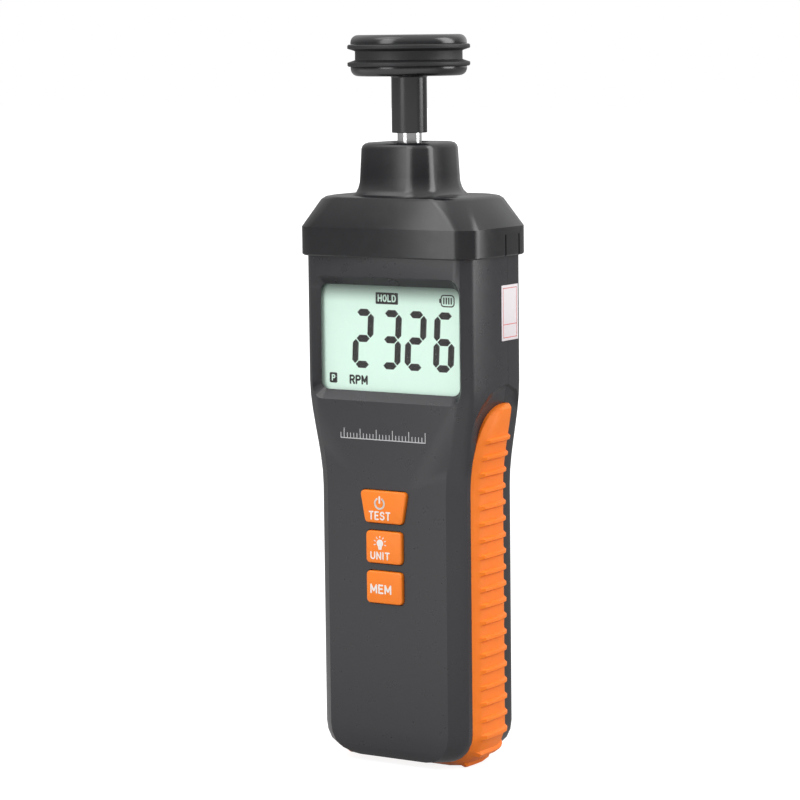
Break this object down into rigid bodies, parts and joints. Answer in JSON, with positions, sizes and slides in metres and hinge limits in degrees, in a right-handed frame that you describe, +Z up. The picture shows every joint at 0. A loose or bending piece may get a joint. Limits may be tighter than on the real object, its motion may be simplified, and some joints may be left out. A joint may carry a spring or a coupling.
{
  "type": "handheld contact tachometer",
  "caption": "Handheld digital contact tachometer with a display, three keys, soft side grips and a pull-off adapter that carries a surface speed wheel on a ball-bearing spindle.",
  "frame": {"origin": "bottom centre of the whole object, on the spindle axis", "axes": "+Z up along the spindle axis towards the wheel, -Y out of the display, +X to the right as seen from the display"},
  "size_m": [0.0536, 0.0318, 0.1908],
  "materials": {
    "front_shell": "satin",
    "rear_shell": "satin",
    "front_grip": "matt",
    "rear_grip": "matt",
    "window_lens": "clear",
    "lcd_panel": "clear",
    "lcd_frame": "satin",
    "backlight": "satin",
    "zebra_strips": "matt",
    "main_board": "satin",
    "control_chip": "satin",
    "board_parts": "satin",
    "switch_bodies": "satin",
    "board_screws": "satin",
    "sensor_board": "satin",
    "sensor_link": "satin",
    "sensor_emitter": "clear",
    "sensor_receiver": "clear",
    "sensor_window": "clear",
    "battery_cells": "satin",
    "battery_contacts": "satin",
    "battery_leads": "matt",
    "case_screws": "satin",
    "seal_label": "satin",
    "battery_door": "satin",
    "door_screw": "satin",
    "test_key": "matt",
    "unit_key": "matt",
    "memory_key": "matt",
    "test_plunger": "satin",
    "unit_plunger": "satin",
    "memory_plunger": "satin",
    "adapter_cap": "satin",
    "bearing_outer_rings": "satin",
    "bearing_spacer": "satin",
    "bearing_balls": "polished",
    "bearing_retainer": "satin",
    "retainer_screws": "satin",
    "bearing_inner_rings": "satin",
    "spindle": "polished",
    "spindle_clip": "satin",
    "signal_disc": "satin",
    "reflector_mark": "satin",
    "speed_wheel": "satin",
    "wheel_tyre": "matt"
  },
  "bodies": {
    "case": {"front_shell": "front_shell", "rear_shell": "rear_shell", "front_grip": "front_grip", "rear_grip": "rear_grip", "window_lens": "window_lens", "lcd_panel": "lcd_panel", "lcd_frame": "lcd_frame", "backlight": "backlight", "zebra_strips": "zebra_strips", "main_board": "main_board", "control_chip": "control_chip", "board_parts": "board_parts", "switch_bodies": "switch_bodies", "board_screws": "board_screws", "sensor_board": "sensor_board", "sensor_link": "sensor_link", "sensor_emitter": "sensor_emitter", "sensor_receiver": "sensor_receiver", "sensor_window": "sensor_window", "battery_cells": "battery_cells", "battery_contacts": "battery_contacts", "battery_leads": "battery_leads", "case_screws": "case_screws", "seal_label": "seal_label"},
    "door": {"battery_door": "battery_door", "door_screw": "door_screw"},
    "key_test": {"test_key": "test_key", "test_plunger": "test_plunger"},
    "key_unit": {"unit_key": "unit_key", "unit_plunger": "unit_plunger"},
    "key_memory": {"memory_key": "memory_key", "memory_plunger": "memory_plunger"},
    "adapter": {"adapter_cap": "adapter_cap", "bearing_outer_rings": "bearing_outer_rings", "bearing_spacer": "bearing_spacer", "bearing_retainer": "bearing_retainer", "retainer_screws": "retainer_screws"},
    "balls": {"bearing_balls": "bearing_balls"},
    "rotor": {"bearing_inner_rings": "bearing_inner_rings", "spindle": "spindle", "spindle_clip": "spindle_clip", "signal_disc": "signal_disc", "reflector_mark": "reflector_mark"},
    "wheel": {"speed_wheel": "speed_wheel", "wheel_tyre": "wheel_tyre"}
  },
  "joints": [
    {"name": "adapter_pull", "type": "slide", "parent": "case", "child": "adapter", "axis": [0, 0, 1], "range_m": [0, 0.02]},
    {"name": "spindle_spin", "type": "hinge", "parent": "adapter", "child": "rotor", "pos_m": [0, 0, 0.15], "axis": [0, 0, 1], "continuous": true},
    {"name": "ball_roll", "type": "hinge", "parent": "adapter", "child": "balls", "pos_m": [0, 0, 0.15], "axis": [0, 0, 1], "continuous": true},
    {"name": "wheel_pull", "type": "slide", "parent": "rotor", "child": "wheel", "axis": [0, 0, 1], "range_m": [0, 0.016]},
    {"name": "test_press", "type": "slide", "parent": "case", "child": "key_test", "axis": [0, 1, 0], "range_m": [0, 0.0007], "stiffness_N_per_m": 2500, "springref_m": -0.0004},
    {"name": "unit_press", "type": "slide", "parent": "case", "child": "key_unit", "axis": [0, 1, 0], "range_m": [0, 0.0007], "stiffness_N_per_m": 2500, "springref_m": -0.0004},
    {"name": "memory_press", "type": "slide", "parent": "case", "child": "key_memory", "axis": [0, 1, 0], "range_m": [0, 0.0007], "stiffness_N_per_m": 2500, "springref_m": -0.0004},
    {"name": "door_tilt", "type": "hinge", "parent": "case", "child": "door", "pos_m": [0, 0.0143, 0.0117], "axis": [-1, 0, 0], "range_deg": [0, 50]}
  ],
  "couplings": [
    {"joint": "ball_roll", "follows": "spindle_spin", "ratio": 0.377}
  ]
}
